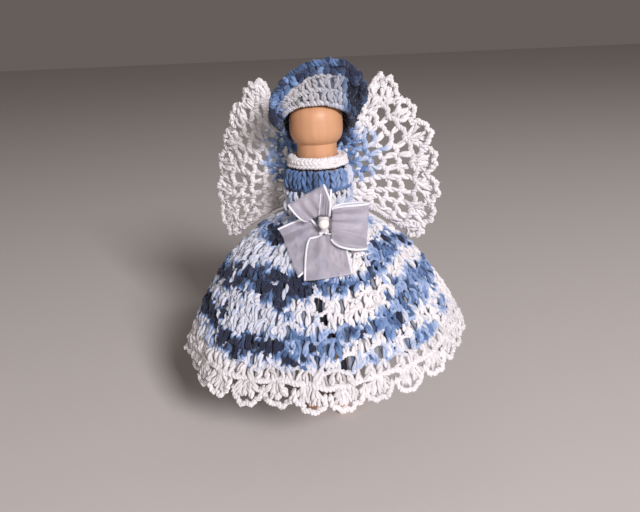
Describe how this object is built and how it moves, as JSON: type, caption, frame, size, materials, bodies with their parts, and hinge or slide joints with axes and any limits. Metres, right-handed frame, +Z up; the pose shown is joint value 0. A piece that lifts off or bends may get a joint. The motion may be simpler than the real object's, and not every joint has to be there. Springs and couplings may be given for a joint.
{
  "type": "clothespin doll",
  "caption": "Slotted wooden clothespin doll in a crocheted dress with lace hem, net wings, bonnet and ribbon bow; the dress turns, the wings flap and the bonnet pulls off.",
  "frame": {"origin": "on the table plane, on the axis of the wooden pin", "axes": "+Z up along the pin, -Y the way the face looks, +X to the right as seen from in front"},
  "size_m": [0.0862, 0.0862, 0.107],
  "materials": {
    "birch_wood": "smooth turned, unvarnished",
    "cream_yarn": "matt crochet yarn",
    "blue_yarn": "matt crochet yarn, heathered",
    "variegated_yarn": "matt crochet yarn, blue and white by turns",
    "organza": "sheer with satin edges",
    "sewing_thread": "fine twisted thread",
    "pearl": "pearl gloss"
  },
  "bodies": {
    "clothespin": {"clothespin": "birch_wood"},
    "dress": {"collar": "cream_yarn", "yoke": "blue_yarn", "skirt": "variegated_yarn", "hem_lace": "cream_yarn", "wing_center": "cream_yarn", "wing_stitches": "cream_yarn", "bow_loops": "organza", "bow_tails": "organza", "bow_thread": "sewing_thread", "pearl_bead": "pearl"},
    "wing_left": {"wing_left": "cream_yarn"},
    "wing_right": {"wing_right": "cream_yarn"},
    "bonnet": {"bonnet_crown": "blue_yarn", "bonnet_brim": "cream_yarn", "bonnet_edging": "blue_yarn"}
  },
  "joints": [
    {"name": "dress_turn", "type": "hinge", "parent": "clothespin", "child": "dress", "pos_m": [0, 0, 0.079], "axis": [0, 0, 1], "continuous": true},
    {"name": "wing_left_flap", "type": "hinge", "parent": "dress", "child": "wing_left", "pos_m": [-0.00365, 0.01185, 0.0732], "axis": [0, 0, -1], "range_deg": [-15, 15], "stiffness_Nm_per_rad": 0.0005},
    {"name": "wing_right_flap", "type": "hinge", "parent": "dress", "child": "wing_right", "pos_m": [0.00365, 0.01185, 0.0732], "axis": [0, 0, 1], "range_deg": [-15, 15], "stiffness_Nm_per_rad": 0.0005},
    {"name": "bonnet_lift", "type": "slide", "parent": "clothespin", "child": "bonnet", "axis": [0, 0.766, 0.6428], "range_m": [0, 0.006]}
  ]
}
